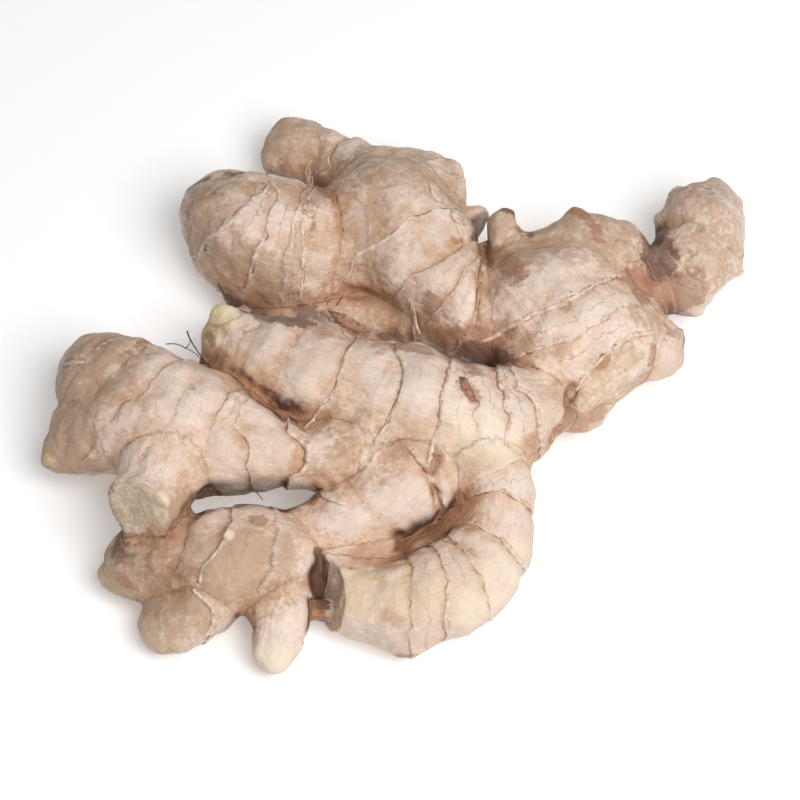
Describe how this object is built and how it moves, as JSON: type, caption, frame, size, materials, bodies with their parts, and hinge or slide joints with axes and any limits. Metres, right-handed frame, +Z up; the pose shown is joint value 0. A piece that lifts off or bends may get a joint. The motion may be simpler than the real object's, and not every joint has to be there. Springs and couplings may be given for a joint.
{
  "type": "ginger root",
  "caption": "Hand of ginger root: a swollen, branching stem with blunt fingers, ring scars, buds and cut ends, lying flat on its bellies.",
  "frame": {"origin": "on the table, under the middle of the root's outline seen from above", "axes": "+X along the root's length, from the broad left fingers to the small knob on the right; +Y away from the viewer, across the root; +Z up from the table"},
  "size_m": [0.1822, 0.1631, 0.0378],
  "materials": {
    "ginger_skin": "matt, thin and papery pale tan skin with browner ring scars and creases"
  },
  "bodies": {
    "root": {"ginger_root": "ginger_skin"}
  },
  "joints": []
}
